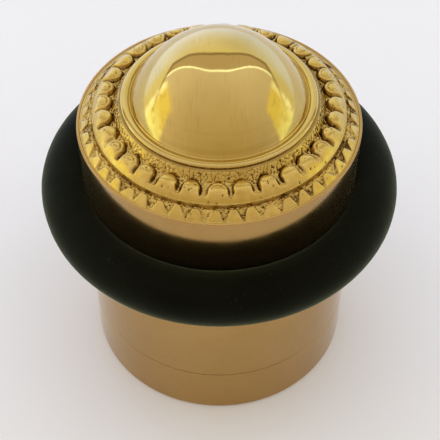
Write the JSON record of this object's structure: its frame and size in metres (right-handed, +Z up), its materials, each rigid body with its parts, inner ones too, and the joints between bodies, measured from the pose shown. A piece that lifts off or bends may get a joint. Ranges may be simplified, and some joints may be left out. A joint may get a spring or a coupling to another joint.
{
  "type": "floor door stop",
  "caption": "Floor-standing round brass door stop with a rubber buffer ring, a beaded ornamental cap and a polished dome.",
  "frame": {"origin": "centre of the flat underside that stands on the floor", "axes": "+Z up along the post's axis, towards the dome"},
  "size_m": [0.0524, 0.0524, 0.0575],
  "materials": {
    "turned_brass": "satin turned brass, slightly dull and pinkish",
    "cast_brass": "cast and tumbled brass, brown in the crevices",
    "polished_brass": "bright polished and lacquered brass",
    "black_rubber": "matt moulded black rubber",
    "zinc_steel": "zinc-plated steel"
  },
  "bodies": {
    "base": {"floor_base": "turned_brass"},
    "ring": {"buffer_ring": "black_rubber"},
    "post": {"stop_body": "turned_brass", "beaded_cap": "cast_brass", "dome": "polished_brass", "clamp_bolt": "zinc_steel", "spring_washer": "zinc_steel"}
  },
  "joints": [
    {"name": "body_lift", "type": "slide", "parent": "base", "child": "ring", "axis": [0, 0, 1], "range_m": [0, 0.005]},
    {"name": "body_unscrew", "type": "hinge", "parent": "ring", "child": "post", "pos_m": [0, 0, 0.02], "axis": [0, 0, 1], "range_deg": [0, 900]}
  ],
  "couplings": [
    {"joint": "body_lift", "follows": "body_unscrew", "m_per_rad": 0.00031831}
  ]
}
